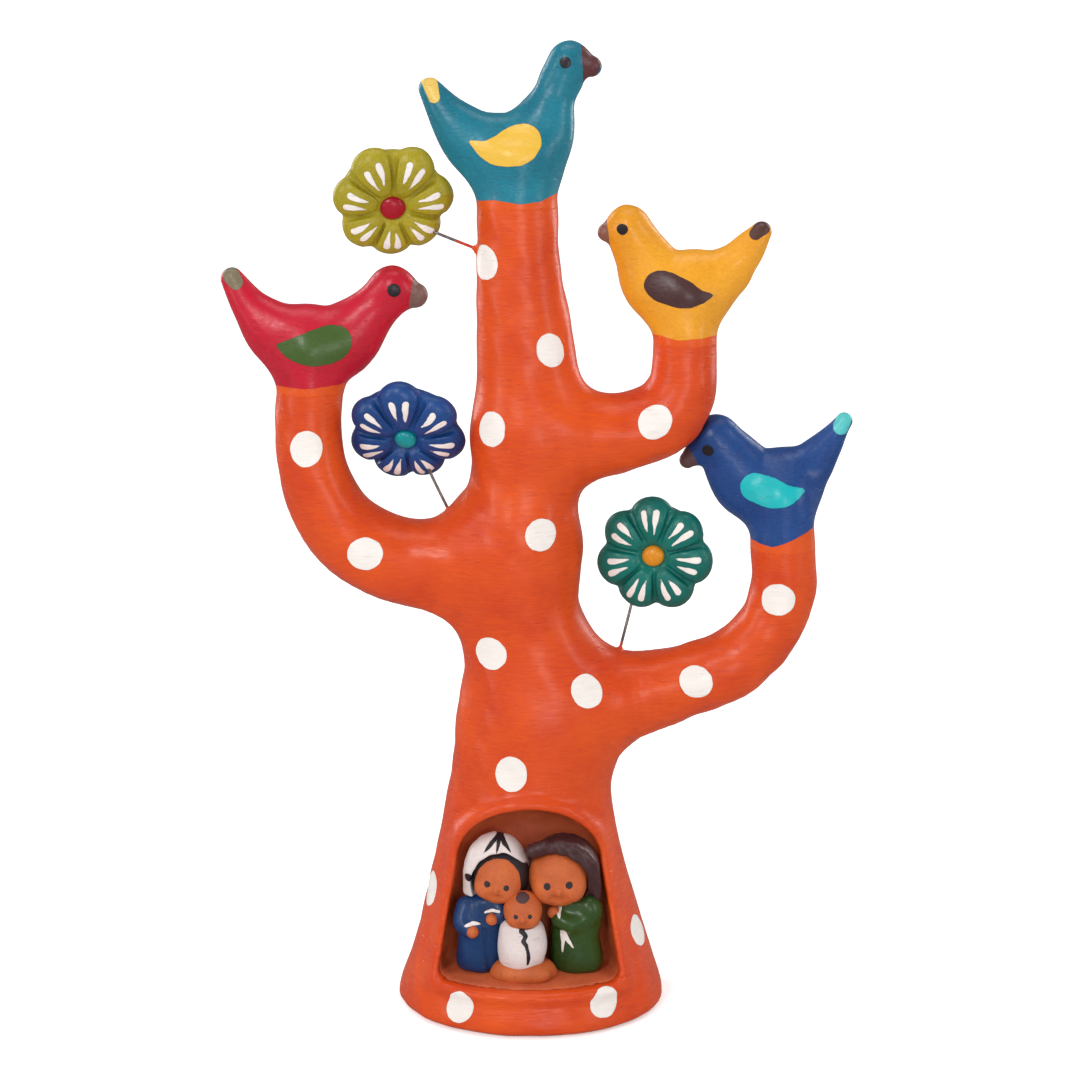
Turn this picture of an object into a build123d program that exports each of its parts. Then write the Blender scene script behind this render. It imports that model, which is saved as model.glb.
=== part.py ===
from build123d import *
from math import cos, radians, sin
import os

# A painted clay tree of life: a hollow trunk with three J-shaped branches, a bird on each tip,
# three flowers on steel wires and a nativity in an arched niche in the foot.
# Millimetres, +Z up, front towards -Y, origin on the ground at the centre of the foot.

# ---------------------------------------------------------------- driving dimensions
# Trunk sections: height, centre x, half width, half depth.
TRUNK_SECTIONS = [
    (0, -0.3, 34, 31),
    (4, -0.3, 34.6, 31.6),
    (21, -0.3, 29.5, 25.4),
    (43, -1, 24, 19.6),
    (65, -0.7, 19.9, 16.4),
    (84, 0, 17, 14.6),
    (98, -1.1, 16, 13.6),
    (112, -1.8, 13.7, 12.8),
    (125, -1.3, 12.8, 12.2),
    (139, -0.9, 12.8, 12),
    (160, -1, 13, 11.4),
    (180, -2.1, 11.9, 10.4),
    (197, -3.6, 10.4, 9.5),
    (210, -3.8, 10.2, 9.2),
]
WALL = 6
SLAB_THICKNESS = 5
CAVITY_TOP = 180
VENT_RADIUS = 4
VENT_Y = 10

# Branch centre lines: x, z, radius.  The first point lies inside the trunk.
LEFT_LINE = [
    (-4, 119, 15),
    (-14, 117.8, 13.8),
    (-25, 117, 11.9),
    (-38.3, 119.6, 11),
    (-49, 127.1, 10.1),
    (-54.9, 137.8, 9.2),
    (-57, 150, 8.5),
    (-57, 163, 8.4),
]
UPPER_RIGHT_LINE = [
    (-1, 148, 13),
    (7, 149.4, 12.2),
    (16, 150.8, 10.8),
    (25, 152.1, 10),
    (33.4, 155.6, 9.6),
    (37.9, 162, 8.9),
    (38.8, 169, 8.3),
    (38.8, 176.5, 8.1),
]
LOWER_RIGHT_LINE = [
    (0, 79.5, 16),
    (11, 80.6, 14.2),
    (23, 82.3, 11.6),
    (36, 85.2, 9.9),
    (50.6, 90.2, 9),
    (60.4, 99.3, 8.6),
    (64.6, 110.5, 8.4),
    (64.6, 122.5, 8.3),
]
BRANCH_HALF_DEPTH = 11.5

# Niche: an arch with leaning legs in the foot's front.
NICHE_FLOOR = 12
NICHE_HALF_FLOOR = 23.5
NICHE_SPRING_Z = 41
NICHE_HALF_SPRING = 18.4
NICHE_TOP = 57.5
NICHE_BACK_Y = -6.5
LINER_THICKNESS = 2.5
LIP_WIDTH = 2.6
LIP_HEIGHT = 1.4
FRONT_Y = -40

# Birds: centre line from tail tip to head, as x, z, half height of the silhouette.
# Each body is pressed flatter across than it is tall, the more so where it is tall.
TEAL_LINE = [
    (-25.3, 238.3, 2.9),
    (-20, 231, 5.4),
    (-12.8, 224.3, 8.4),
    (-4.6, 221, 10.5),
    (1.5, 226.5, 8.7),
    (5.3, 235.6, 5.6),
    (7.6, 241.3, 5.5),
    (9.2, 244.8, 5.2),
]
RED_LINE = [
    (-75.9, 191, 2.8),
    (-70.8, 183, 5),
    (-64.2, 176.8, 8),
    (-56.6, 173.7, 9.6),
    (-49.1, 174.9, 9.3),
    (-41.4, 181.9, 6.4),
    (-35.4, 188, 6.1),
]
YELLOW_LINE = [
    (57.9, 202.8, 2.4),
    (53.7, 197.3, 4.4),
    (48, 191.9, 6.8),
    (40.2, 187.8, 9.3),
    (32.5, 189.5, 9.3),
    (27.8, 196.8, 6.9),
    (24, 203.6, 5.7),
]
BLUE_LINE = [
    (79.9, 154, 2.2),
    (75.9, 148.2, 4),
    (71.2, 142.2, 6),
    (64, 137, 9),
    (56.1, 138.1, 9.4),
    (50.7, 145, 7.3),
    (47.2, 149.7, 6),
]
BIRD_FLATTENING = 33
BEAK_TIP_RADIUS = 2.3
TEAL_BEAK = (14.9, 243.9)
RED_BEAK = (-29.3, 186.8)
YELLOW_BEAK = (18.7, 202.6)
BLUE_BEAK = (39.9, 143.9)
BLUE_BIRD_Y = 3

# Flowers: the middle of each flower, the point where its wire enters the tree and the wire's
# end inside the flower, as x, z; then how far the flower faces down and to the right, in degrees.
FLOWER_RADIUS = 14.2
FLOWER_THICKNESS = 8
PETAL_COUNT = 7
PETAL_RADIUS = 5
PETAL_EDGE = 2.4
GROOVE_WIDTH = 1.2
GROOVE_DEPTH = 1.6
RECESS_RADIUS = 3.6
RECESS_DEPTH = 1.8
BUTTON_RADIUS = 2.8
BUTTON_HEIGHT = 2.6
BUTTON_ROUNDING = 1.4
WIRE_RADIUS = 0.4
WIRE_CLEARANCE = 0.05
WIRE_EMBEDDED = 5
DAB_RADIUS = 2
YELLOW_FLOWER = (-35, 209.9)
YELLOW_ROOT = (-13.7, 198.3)
YELLOW_WIRE_END = (-29.5, 204.4)
YELLOW_FACING = (22, 8)
BLUE_FLOWER = (-32, 151.4)
BLUE_ROOT = (-21, 130.4)
BLUE_WIRE_END = (-29.4, 147.4)
BLUE_FACING = (25, -6)
GREEN_FLOWER = (31.7, 120.3)
GREEN_ROOT = (22.6, 94)
GREEN_WIRE_END = (28, 115.5)
GREEN_FACING = (3, -12)

# Nativity figures, standing on the niche floor.
# Robe sections: height, centre x, half width, half depth.
MOTHER_SECTIONS = [
    (12, -13.8, 7, 5.2),
    (20, -13.6, 6.6, 5.4),
    (27, -12.8, 6.2, 5),
    (33, -11.5, 4, 3.6),
]
FATHER_SECTIONS = [
    (12, 11.4, 7, 5.2),
    (20, 11.4, 6.8, 5.4),
    (28, 12, 6.4, 5),
    (33, 11.4, 4, 3.6),
]
SWADDLING_SECTIONS = [
    (16.5, -2.6, 5.8, 4.2),
    (21, -2.6, 6.2, 4.4),
    (27.5, -2.6, 5, 4),
]
MANGER_SECTIONS = [
    (12, -2.2, 8.2, 5),
    (14, -2.2, 8.8, 5.4),
    (16.5, -2.2, 7.4, 4.6),
]
ROBE_Y = -13.4
CHILD_Y = -19
MOTHER_HEAD = (-8.4, -14.2, 37)
FATHER_HEAD = (6.8, -14, 37.4)
CHILD_HEAD = (-2.2, -19.4, 30.6)
MOTHER_HEAD_RADIUS = 6.4
FATHER_HEAD_RADIUS = 7.7
CHILD_HEAD_RADIUS = 5
SCARF_CENTRE = (-9.4, -13.4, 38.8)
SCARF_RADIUS = 8.4
SCARF_FACE_CUT = (-8, 36.2, 6)
HAIR_CENTRE = (7.7, -14, 39)
HAIR_RADIUS = 9.1
HAIR_FACE_CUT = (5.6, 34.4, 8.4)
HAIR_END_Z = 32
SCARF_END_Z = 32.5
HAND_RADIUS = 1.6
MOTHER_HANDS = [(-10.4, -18.6, 27.6), (-15.4, -18.8, 24.2)]
FATHER_HAND = (5.4, -16.6, 28.8)

os.makedirs("parts", exist_ok=True)


# ---------------------------------------------------------------- shared shapes
def column(sections, inset=0.0, y=0.0):
    """A standing solid through level ellipses, each drawn in by the inset."""
    with BuildPart() as solid:
        for height, centre_x, half_width, half_depth in sections:
            with BuildSketch(Plane.XY.offset(height)):
                with Locations((centre_x, y)):
                    Ellipse(half_width - inset, half_depth - inset)
        loft()
    return solid.part


def limb(line, flattening=None, y=0.0):
    """A solid through ellipses set square to a line of x, z, radius points."""
    with BuildPart() as solid:
        for index, (x, z, radius) in enumerate(line):
            before = line[max(index - 1, 0)]
            after = line[min(index + 1, len(line) - 1)]
            heading = (after[0] - before[0], 0, after[1] - before[1])
            half_depth = radius * (1 - radius / flattening) if flattening else min(radius, BRANCH_HALF_DEPTH)
            with BuildSketch(Plane(origin=(x, y, z), x_dir=(0, 1, 0), z_dir=heading)):
                Ellipse(half_depth, radius)
        loft()
    return solid.part


def ball(centre, radius):
    """A sphere at a point."""
    with BuildPart() as solid:
        with Locations(centre):
            Sphere(radius)
    return solid.part


def rod(start, end, start_radius, end_radius=None):
    """A round rod or cone between two points."""
    axis = Vector(end) - Vector(start)
    with BuildPart() as solid:
        with BuildSketch(Plane(origin=start, z_dir=axis)):
            Circle(start_radius)
        with BuildSketch(Plane(origin=end, z_dir=axis)):
            Circle(end_radius or start_radius)
        loft()
    return solid.part


def arch_prism(grow, back_y):
    """The niche's arch outline, grown all round, run from in front of the foot to back_y."""
    with BuildPart() as solid:
        with BuildSketch(Plane.XZ.offset(-back_y)):
            with BuildLine():
                left_foot = (-NICHE_HALF_FLOOR - grow, NICHE_FLOOR - grow)
                right_foot = (NICHE_HALF_FLOOR + grow, NICHE_FLOOR - grow)
                left_spring = (-NICHE_HALF_SPRING - grow, NICHE_SPRING_Z)
                right_spring = (NICHE_HALF_SPRING + grow, NICHE_SPRING_Z)
                Line(left_foot, right_foot)
                Line(right_foot, right_spring)
                ThreePointArc(right_spring, (0, NICHE_TOP + grow), left_spring)
                Line(left_spring, left_foot)
            make_face()
        extrude(amount=back_y - FRONT_Y)
    return solid.part


# ---------------------------------------------------------------- wires and the holes they sit in
def wire_ends(root, end):
    """The two ends of a straight wire: sunk in the clay below its root, and inside the flower."""
    mouth = Vector(root[0], 0, root[1])
    flower_end = Vector(end[0], 0, end[1])
    heading = (flower_end - mouth).normalized()
    return mouth - heading * WIRE_EMBEDDED, flower_end


yellow_wire = wire_ends(YELLOW_ROOT, YELLOW_WIRE_END)
blue_wire = wire_ends(BLUE_ROOT, BLUE_WIRE_END)
green_wire = wire_ends(GREEN_ROOT, GREEN_WIRE_END)
yellow_hole = rod(*yellow_wire, WIRE_RADIUS + WIRE_CLEARANCE)
blue_hole = rod(*blue_wire, WIRE_RADIUS + WIRE_CLEARANCE)
green_hole = rod(*green_wire, WIRE_RADIUS + WIRE_CLEARANCE)

# ---------------------------------------------------------------- tree
trunk_body = column(TRUNK_SECTIONS)
swollen_trunk = column(TRUNK_SECTIONS, -LIP_HEIGHT)
cavity = column([section for section in TRUNK_SECTIONS if section[0] <= CAVITY_TOP], WALL)
niche_mouth = arch_prism(LINER_THICKNESS, NICHE_BACK_Y + LINER_THICKNESS)
niche_space = arch_prism(0, NICHE_BACK_Y)
lip_outline = arch_prism(LINER_THICKNESS + LIP_WIDTH, NICHE_BACK_Y)

with BuildPart() as lip:
    add(swollen_trunk)
    add(lip_outline, mode=Mode.INTERSECT)

with BuildPart() as trunk:
    add([trunk_body, lip.part])
    add([cavity, niche_mouth, yellow_hole], mode=Mode.SUBTRACT)

with BuildPart() as niche_liner:
    add(trunk_body)
    add(niche_mouth, mode=Mode.INTERSECT)
    add(niche_space, mode=Mode.SUBTRACT)

with BuildPart() as base_slab:
    add(cavity)
    split(bisect_by=Plane.XY.offset(SLAB_THICKNESS), keep=Keep.BOTTOM)
    with Locations((0, VENT_Y)):
        Hole(VENT_RADIUS)

left_arm = limb(LEFT_LINE)
upper_right_arm = limb(UPPER_RIGHT_LINE)
lower_right_arm = limb(LOWER_RIGHT_LINE)

with BuildPart() as left_branch:
    add(left_arm)
    add([trunk_body, blue_hole], mode=Mode.SUBTRACT)

with BuildPart() as upper_right_branch:
    add(upper_right_arm)
    add(trunk_body, mode=Mode.SUBTRACT)

with BuildPart() as lower_right_branch:
    add(lower_right_arm)
    add([trunk_body, green_hole], mode=Mode.SUBTRACT)


# ---------------------------------------------------------------- birds
def bird(line, beak, perch, y=0.0):
    """A bird from its centre line, its beak tip and the x, z, half width, half depth of its perch."""
    body_x, body_z, body_radius = line[3]
    head_x, head_z, head_radius = line[-1]
    tail_x, tail_z, tail_radius = line[0]
    perch_x, perch_z, half_width, half_depth = perch
    figure = limb(line, BIRD_FLATTENING, y)
    head = ball((head_x, y, head_z), head_radius)
    tail_tip = ball((tail_x, y, tail_z), tail_radius * 0.95)
    beak_cone = rod((head_x, y, head_z), (beak[0], y, beak[1]), head_radius * 0.9, BEAK_TIP_RADIUS)
    beak_tip = ball((beak[0], y, beak[1]), BEAK_TIP_RADIUS)
    with BuildPart() as solid:
        with BuildSketch(Plane.XY.offset(perch_z)):
            with Locations((perch_x, 0)):
                Ellipse(half_width, half_depth)
        with BuildSketch(Plane.XY.offset(body_z - 1)):
            with Locations((body_x, y)):
                Ellipse(body_radius, body_radius * (1 - body_radius / BIRD_FLATTENING))
        loft()
        add([figure, head, tail_tip, beak_cone, beak_tip])
        split(bisect_by=Plane.XY.offset(perch_z), keep=Keep.TOP)
    return solid


def tip_of(line):
    """The level round end of a branch: x, z, half width, half depth."""
    x, z, radius = line[-1]
    return (x, z, radius, radius)


top_height, top_x, top_half_width, top_half_depth = TRUNK_SECTIONS[-1]
teal_bird = bird(TEAL_LINE, TEAL_BEAK, (top_x, top_height, top_half_width, top_half_depth))
red_bird = bird(RED_LINE, RED_BEAK, tip_of(LEFT_LINE))
yellow_bird = bird(YELLOW_LINE, YELLOW_BEAK, tip_of(UPPER_RIGHT_LINE))
whole_blue_bird = bird(BLUE_LINE, BLUE_BEAK, tip_of(LOWER_RIGHT_LINE), BLUE_BIRD_Y)

# The blue bird's beak is pressed against the branch above it.
with BuildPart() as blue_bird:
    add(whole_blue_bird.part)
    add(upper_right_branch.part, mode=Mode.SUBTRACT)


# ---------------------------------------------------------------- flowers on wires
def flower_plane(centre, facing):
    """The plane through a flower's middle, turned down and to the right from straight ahead."""
    down = radians(facing[0])
    right = radians(facing[1])
    outward = (sin(right) * cos(down), -cos(right) * cos(down), -sin(down))
    return Plane(origin=(centre[0], 0, centre[1]), x_dir=(cos(right), sin(right), 0), z_dir=outward)


# One flower, lying on its back with its middle at the origin.
petal_circle = FLOWER_RADIUS - PETAL_RADIUS
recess_floor = FLOWER_THICKNESS / 2 - RECESS_DEPTH

with BuildPart() as petal:
    Cylinder(PETAL_RADIUS, FLOWER_THICKNESS)
    fillet(petal.edges().filter_by(GeomType.CIRCLE), PETAL_EDGE)

with BuildPart() as flower_head:
    Cylinder(petal_circle, FLOWER_THICKNESS)
    with PolarLocations(petal_circle, PETAL_COUNT, start_angle=90):
        add(petal.part)
    with BuildSketch(Plane.XY.offset(FLOWER_THICKNESS / 2)):
        with PolarLocations(petal_circle, PETAL_COUNT, start_angle=90 + 180 / PETAL_COUNT):
            Rectangle(FLOWER_RADIUS - RECESS_RADIUS, GROOVE_WIDTH)
    extrude(amount=-GROOVE_DEPTH, mode=Mode.SUBTRACT)
    with BuildSketch(Plane.XY.offset(FLOWER_THICKNESS / 2)):
        Circle(RECESS_RADIUS)
    extrude(amount=-RECESS_DEPTH, mode=Mode.SUBTRACT)

with BuildPart() as flower_button:
    with BuildSketch(Plane.XY.offset(recess_floor)):
        Circle(BUTTON_RADIUS)
    extrude(amount=BUTTON_HEIGHT)
    fillet(flower_button.edges().sort_by(Axis.Z)[-1], BUTTON_ROUNDING)


def placed_petals(centre, facing, wire_hole):
    """The petals set in their place, with the blind hole that the wire ends in."""
    head = flower_head.part.moved(flower_plane(centre, facing).location)
    with BuildPart() as solid:
        add(head)
        add(wire_hole, mode=Mode.SUBTRACT)
    return solid


def placed_button(centre, facing):
    """The button seated in the petals' recess."""
    button = flower_button.part.moved(flower_plane(centre, facing).location)
    with BuildPart() as solid:
        add(button)
    return solid


def wire_dab(root, wire_hole):
    """A dab of clay round the wire where it enters the tree."""
    with BuildPart() as solid:
        with Locations((root[0], 0, root[1])):
            Sphere(DAB_RADIUS)
        add([trunk_body, left_arm, lower_right_arm, wire_hole], mode=Mode.SUBTRACT)
    return solid


yellow_flower_petals = placed_petals(YELLOW_FLOWER, YELLOW_FACING, yellow_hole)
yellow_flower_centre = placed_button(YELLOW_FLOWER, YELLOW_FACING)
yellow_flower_dab = wire_dab(YELLOW_ROOT, yellow_hole)
blue_flower_petals = placed_petals(BLUE_FLOWER, BLUE_FACING, blue_hole)
blue_flower_centre = placed_button(BLUE_FLOWER, BLUE_FACING)
blue_flower_dab = wire_dab(BLUE_ROOT, blue_hole)
green_flower_petals = placed_petals(GREEN_FLOWER, GREEN_FACING, green_hole)
green_flower_centre = placed_button(GREEN_FLOWER, GREEN_FACING)
green_flower_dab = wire_dab(GREEN_ROOT, green_hole)

with BuildPart() as yellow_flower_stem:
    add(rod(*yellow_wire, WIRE_RADIUS))

with BuildPart() as blue_flower_stem:
    add(rod(*blue_wire, WIRE_RADIUS))

with BuildPart() as green_flower_stem:
    add(rod(*green_wire, WIRE_RADIUS))


# ---------------------------------------------------------------- nativity figures
with BuildPart() as mother_robe:
    add(column(MOTHER_SECTIONS, y=ROBE_Y))

with BuildPart() as father_robe:
    add(column(FATHER_SECTIONS, y=ROBE_Y))

with BuildPart() as mother_head:
    with Locations(MOTHER_HEAD):
        Sphere(MOTHER_HEAD_RADIUS)
    add([mother_robe.part, niche_liner.part], mode=Mode.SUBTRACT)

with BuildPart() as father_head:
    with Locations(FATHER_HEAD):
        Sphere(FATHER_HEAD_RADIUS)
    add([father_robe.part, mother_head.part, niche_liner.part], mode=Mode.SUBTRACT)


def face_opening(cut):
    """A round bar from the front to a head's middle that opens a face in a scarf or hair."""
    x, z, radius = cut
    return rod((x, FRONT_Y, z), (x, ROBE_Y, z), radius)


with BuildPart() as mother_headscarf:
    with Locations(SCARF_CENTRE):
        Sphere(SCARF_RADIUS)
    split(bisect_by=Plane.XY.offset(SCARF_END_Z), keep=Keep.TOP)
    add(face_opening(SCARF_FACE_CUT), mode=Mode.SUBTRACT)
    add([mother_head.part, father_head.part, mother_robe.part, niche_liner.part], mode=Mode.SUBTRACT)

with BuildPart() as father_hair:
    with Locations(HAIR_CENTRE):
        Sphere(HAIR_RADIUS)
    split(bisect_by=Plane.XY.offset(HAIR_END_Z), keep=Keep.TOP)
    add(face_opening(HAIR_FACE_CUT), mode=Mode.SUBTRACT)
    add([father_head.part, mother_head.part, mother_headscarf.part], mode=Mode.SUBTRACT)
    add([father_robe.part, niche_liner.part], mode=Mode.SUBTRACT)

with BuildPart() as manger:
    add(column(MANGER_SECTIONS, y=CHILD_Y))
    add([mother_robe.part, father_robe.part], mode=Mode.SUBTRACT)

with BuildPart() as child_swaddling:
    add(column(SWADDLING_SECTIONS, y=CHILD_Y))
    add([mother_robe.part, father_robe.part, mother_head.part, father_head.part], mode=Mode.SUBTRACT)

with BuildPart() as child_head:
    with Locations(CHILD_HEAD):
        Sphere(CHILD_HEAD_RADIUS)
    add([mother_robe.part, father_robe.part, child_swaddling.part], mode=Mode.SUBTRACT)
    add([mother_head.part, father_head.part, mother_headscarf.part, father_hair.part], mode=Mode.SUBTRACT)

with BuildPart() as mother_hands:
    with Locations(*MOTHER_HANDS):
        Sphere(HAND_RADIUS)
    add([mother_robe.part, child_head.part, child_swaddling.part, mother_head.part], mode=Mode.SUBTRACT)

with BuildPart() as father_hand:
    with Locations(FATHER_HAND):
        Sphere(HAND_RADIUS)
    add([father_robe.part, child_head.part, child_swaddling.part, father_head.part], mode=Mode.SUBTRACT)

# ---------------------------------------------------------------- finished pieces
pieces = {
    "trunk": trunk,
    "niche_liner": niche_liner,
    "base_slab": base_slab,
    "left_branch": left_branch,
    "upper_right_branch": upper_right_branch,
    "lower_right_branch": lower_right_branch,
    "teal_bird": teal_bird,
    "red_bird": red_bird,
    "yellow_bird": yellow_bird,
    "blue_bird": blue_bird,
    "yellow_flower_petals": yellow_flower_petals,
    "yellow_flower_centre": yellow_flower_centre,
    "yellow_flower_stem": yellow_flower_stem,
    "yellow_flower_dab": yellow_flower_dab,
    "blue_flower_petals": blue_flower_petals,
    "blue_flower_centre": blue_flower_centre,
    "blue_flower_stem": blue_flower_stem,
    "blue_flower_dab": blue_flower_dab,
    "green_flower_petals": green_flower_petals,
    "green_flower_centre": green_flower_centre,
    "green_flower_stem": green_flower_stem,
    "green_flower_dab": green_flower_dab,
    "mother_robe": mother_robe,
    "mother_head": mother_head,
    "mother_headscarf": mother_headscarf,
    "mother_hands": mother_hands,
    "father_robe": father_robe,
    "father_head": father_head,
    "father_hair": father_hair,
    "father_hand": father_hand,
    "child_swaddling": child_swaddling,
    "child_head": child_head,
    "manger": manger,
}

for name, piece in pieces.items():
    piece.part.label = name
    export_step(piece.part, f"parts/{name}.step")
    print(name, len(piece.part.solids()), round(piece.part.volume, 1))
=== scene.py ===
import math
import bpy
import numpy as np
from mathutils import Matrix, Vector


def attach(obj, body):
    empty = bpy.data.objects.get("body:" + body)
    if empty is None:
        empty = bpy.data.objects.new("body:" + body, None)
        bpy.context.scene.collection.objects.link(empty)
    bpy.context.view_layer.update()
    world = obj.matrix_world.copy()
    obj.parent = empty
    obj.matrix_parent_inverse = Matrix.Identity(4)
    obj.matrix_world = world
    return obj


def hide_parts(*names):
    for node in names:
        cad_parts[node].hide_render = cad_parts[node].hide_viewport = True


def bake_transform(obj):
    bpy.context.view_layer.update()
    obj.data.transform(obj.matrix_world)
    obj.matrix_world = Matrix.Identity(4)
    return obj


# A painted clay tree of life.  Shapes are sculpted as smooth distance fields in millimetres and
# turned into meshes in metres, in the frame's own coordinates: +Z up, front towards -Y.
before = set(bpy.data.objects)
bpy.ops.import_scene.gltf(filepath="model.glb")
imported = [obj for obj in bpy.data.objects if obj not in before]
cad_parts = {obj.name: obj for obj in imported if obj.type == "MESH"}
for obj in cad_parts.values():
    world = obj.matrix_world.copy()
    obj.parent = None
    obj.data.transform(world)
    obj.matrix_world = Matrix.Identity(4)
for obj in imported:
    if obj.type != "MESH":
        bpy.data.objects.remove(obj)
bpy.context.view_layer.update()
MM = 0.001
FAR = 30.0
UNPAINTED = -9.0


# ---- distance fields
def smooth_min(a, b, blend):
    """The lower of two fields, rounded where they meet."""
    overlap = np.maximum(blend - np.abs(a - b), 0) / blend
    return np.minimum(a, b) - overlap * overlap * blend / 4


def smooth_max(a, b, blend):
    """The higher of two fields, rounded where they meet."""
    return -smooth_min(-a, -b, blend)


def ball(p, centre, radii, turn=None):
    """A nearly true distance to an ellipsoid, in its own turned frame where turn is a matrix."""
    local = p - np.array(centre)
    if turn is not None:
        local = local @ turn
    radii = np.array(radii, dtype=float) * np.ones(3)
    scaled = np.sqrt(((local / radii) ** 2).sum(1)) + 1e-9
    slope = np.sqrt(((local / radii**2) ** 2).sum(1)) / scaled
    return (scaled - 1) / np.maximum(slope, 1 / radii.max())


def oval(x, y, a, b):
    """A nearly true distance to an ellipse with half widths a and b."""
    scaled = np.sqrt((x / a) ** 2 + (y / b) ** 2) + 1e-9
    slope = np.sqrt((x / a**2) ** 2 + (y / b**2) ** 2) / scaled
    return (scaled - 1) / np.maximum(slope, 1 / a)


def spline(points, steps=5):
    """A smooth line through points of any width, several steps to a span."""
    points = np.array(points, dtype=float)
    padded = np.vstack([2 * points[0] - points[1], points, 2 * points[-1] - points[-2]])
    line = []
    for i in range(len(points) - 1):
        a, b, c, d = padded[i:i + 4]
        for step in range(steps):
            t = step / steps
            line.append(0.5 * (2 * b + (c - a) * t + (2 * a - 5 * b + 4 * c - d) * t * t
                               + (3 * b - a - 3 * c + d) * t**3))
    line.append(points[-1])
    return np.array(line)


def tube(p, line, depth=None):
    """Distance to a line of x, y, z, radius, with its half depth along Y given by depth(radius)."""
    best = np.full(len(p), 1e3)
    for a, b in zip(line[:-1], line[1:]):
        along = b[:3] - a[:3]
        offset = p - a[:3]
        t = np.clip(offset @ along / (along @ along + 1e-12), 0, 1)
        radius = a[3] + t * (b[3] - a[3])
        away = offset - t[:, None] * along
        if depth:
            away[:, 1] *= radius / depth(radius)
        best = np.minimum(best, np.sqrt((away * away).sum(1)) - radius)
    return best


def flat_tube(x, z, line):
    """The same for a flat shape: a line of x, z, radius in the picture plane."""
    points = np.stack([x, np.zeros_like(x), z], 1)
    return tube(points, np.array([(a, 0, b, r) for a, b, r in line]))


def lumps(p, size, phase):
    """Gentle hand-made unevenness between -1 and 1, size millimetres across."""
    q = p / size
    first = np.sin(2.1 * q[:, 0] + 1.3 * q[:, 2] + phase) * np.sin(1.7 * q[:, 1] - 0.9 * q[:, 2] + 2 * phase)
    second = np.sin(1.1 * q[:, 0] - 2.3 * q[:, 1] + 1.9 * q[:, 2] + 3 * phase)
    return 0.6 * first + 0.4 * second


def facing_matrix(down, right, roll=0.0):
    """Columns are a face's own right, up and outward directions in the row's frame."""
    down, right, roll = (math.radians(angle) for angle in (down, right, roll))
    outward = np.array([math.sin(right) * math.cos(down), -math.cos(right) * math.cos(down), -math.sin(down)])
    side = np.array([math.cos(right), math.sin(right), 0])
    up = np.cross(outward, side)
    return np.stack([math.cos(roll) * side + math.sin(roll) * up,
                     math.cos(roll) * up - math.sin(roll) * side, outward], 1)


# ---- fields to meshes
BLOCK = 4
CORNERS = [(i, j, k) for i in (0, 1) for j in (0, 1) for k in (0, 1)]


def sample(field, low, high, step):
    """Field values on a grid, worked out in full only near the surface."""
    low = np.array(low, dtype=float)
    counts = np.ceil((np.array(high) - low) / (step * BLOCK)).astype(int)
    grid = np.stack(np.meshgrid(*[np.arange(n) for n in counts], indexing="ij"), -1).reshape(-1, 3)
    middles = low + (grid + 0.5 - 0.5 / BLOCK) * step * BLOCK
    coarse = field(middles).reshape(counts)
    values = coarse
    for axis in range(3):
        values = np.repeat(values, BLOCK, axis)
    near = np.argwhere(np.abs(coarse) < step * BLOCK * 1.6)
    inner = np.stack(np.meshgrid(*[np.arange(BLOCK)] * 3, indexing="ij"), -1).reshape(-1, 3)
    index = (near[:, None, :] * BLOCK + inner[None]).reshape(-1, 3)
    values[index[:, 0], index[:, 1], index[:, 2]] = field(low + index * step)
    return values, low


def surface(field, low, high, step):
    """Points and quads of the field's zero surface, one point to each cell that it crosses."""
    values, low = sample(field, low, high, step)
    inside = values < 0
    size = np.array(values.shape) - 1
    count = sum(inside[i:size[0] + i, j:size[1] + j, k:size[2] + k].astype(np.int8) for i, j, k in CORNERS)
    cells = np.argwhere((count > 0) & (count < 8))
    number = np.full(size, -1)
    number[cells[:, 0], cells[:, 1], cells[:, 2]] = np.arange(len(cells))
    total = np.zeros((len(cells), 3))
    hits = np.zeros(len(cells))
    for start in CORNERS:
        for axis in range(3):
            if start[axis]:
                continue
            end = list(start)
            end[axis] = 1
            a = values[tuple((cells + start).T)]
            b = values[tuple((cells + end).T)]
            crossed = (a < 0) != (b < 0)
            t = np.where(crossed, a / np.where(crossed, a - b, 1), 0)
            place = np.array(start, dtype=float) + t[:, None] * (np.array(end) - np.array(start))
            total += np.where(crossed[:, None], place, 0)
            hits += crossed
    points = low + step * (cells + total / hits[:, None])
    quads = []
    for axis in range(3):
        u, v = (axis + 1) % 3, (axis + 2) % 3
        here = [slice(1, -1)] * 3
        there = list(here)
        there[axis] = slice(2, None)
        a, b = inside[tuple(here)], inside[tuple(there)]
        for flag, order in ((a & ~b, (0, 1, 2, 3)), (b & ~a, (3, 2, 1, 0))):
            spots = np.argwhere(flag) + 1
            ring = []
            for du, dv in ((-1, -1), (0, -1), (0, 0), (-1, 0)):
                spot = spots.copy()
                spot[:, u] += du
                spot[:, v] += dv
                ring.append(number[tuple(spot.T)])
            quads.append(np.stack([ring[i] for i in order], 1))
    quads = np.concatenate(quads)
    for _ in range(3):
        value = field(points)
        slope = gradient(field, points)
        shift = value[:, None] * slope / np.maximum((slope * slope).sum(1), 0.05)[:, None]
        length = np.sqrt((shift * shift).sum(1))[:, None]
        points = points - shift * np.minimum(1, 0.5 * step / np.maximum(length, 1e-9))
    return points, quads


def gradient(field, points, reach=0.05):
    """The field's slope at each point."""
    columns = []
    for axis in range(3):
        nudge = np.zeros(3)
        nudge[axis] = reach
        columns.append((field(points + nudge) - field(points - nudge)) / (2 * reach))
    return np.stack(columns, 1)


def add_object(name, data):
    made = bpy.data.objects.new(name, data)
    bpy.context.scene.collection.objects.link(made)
    return made


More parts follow.
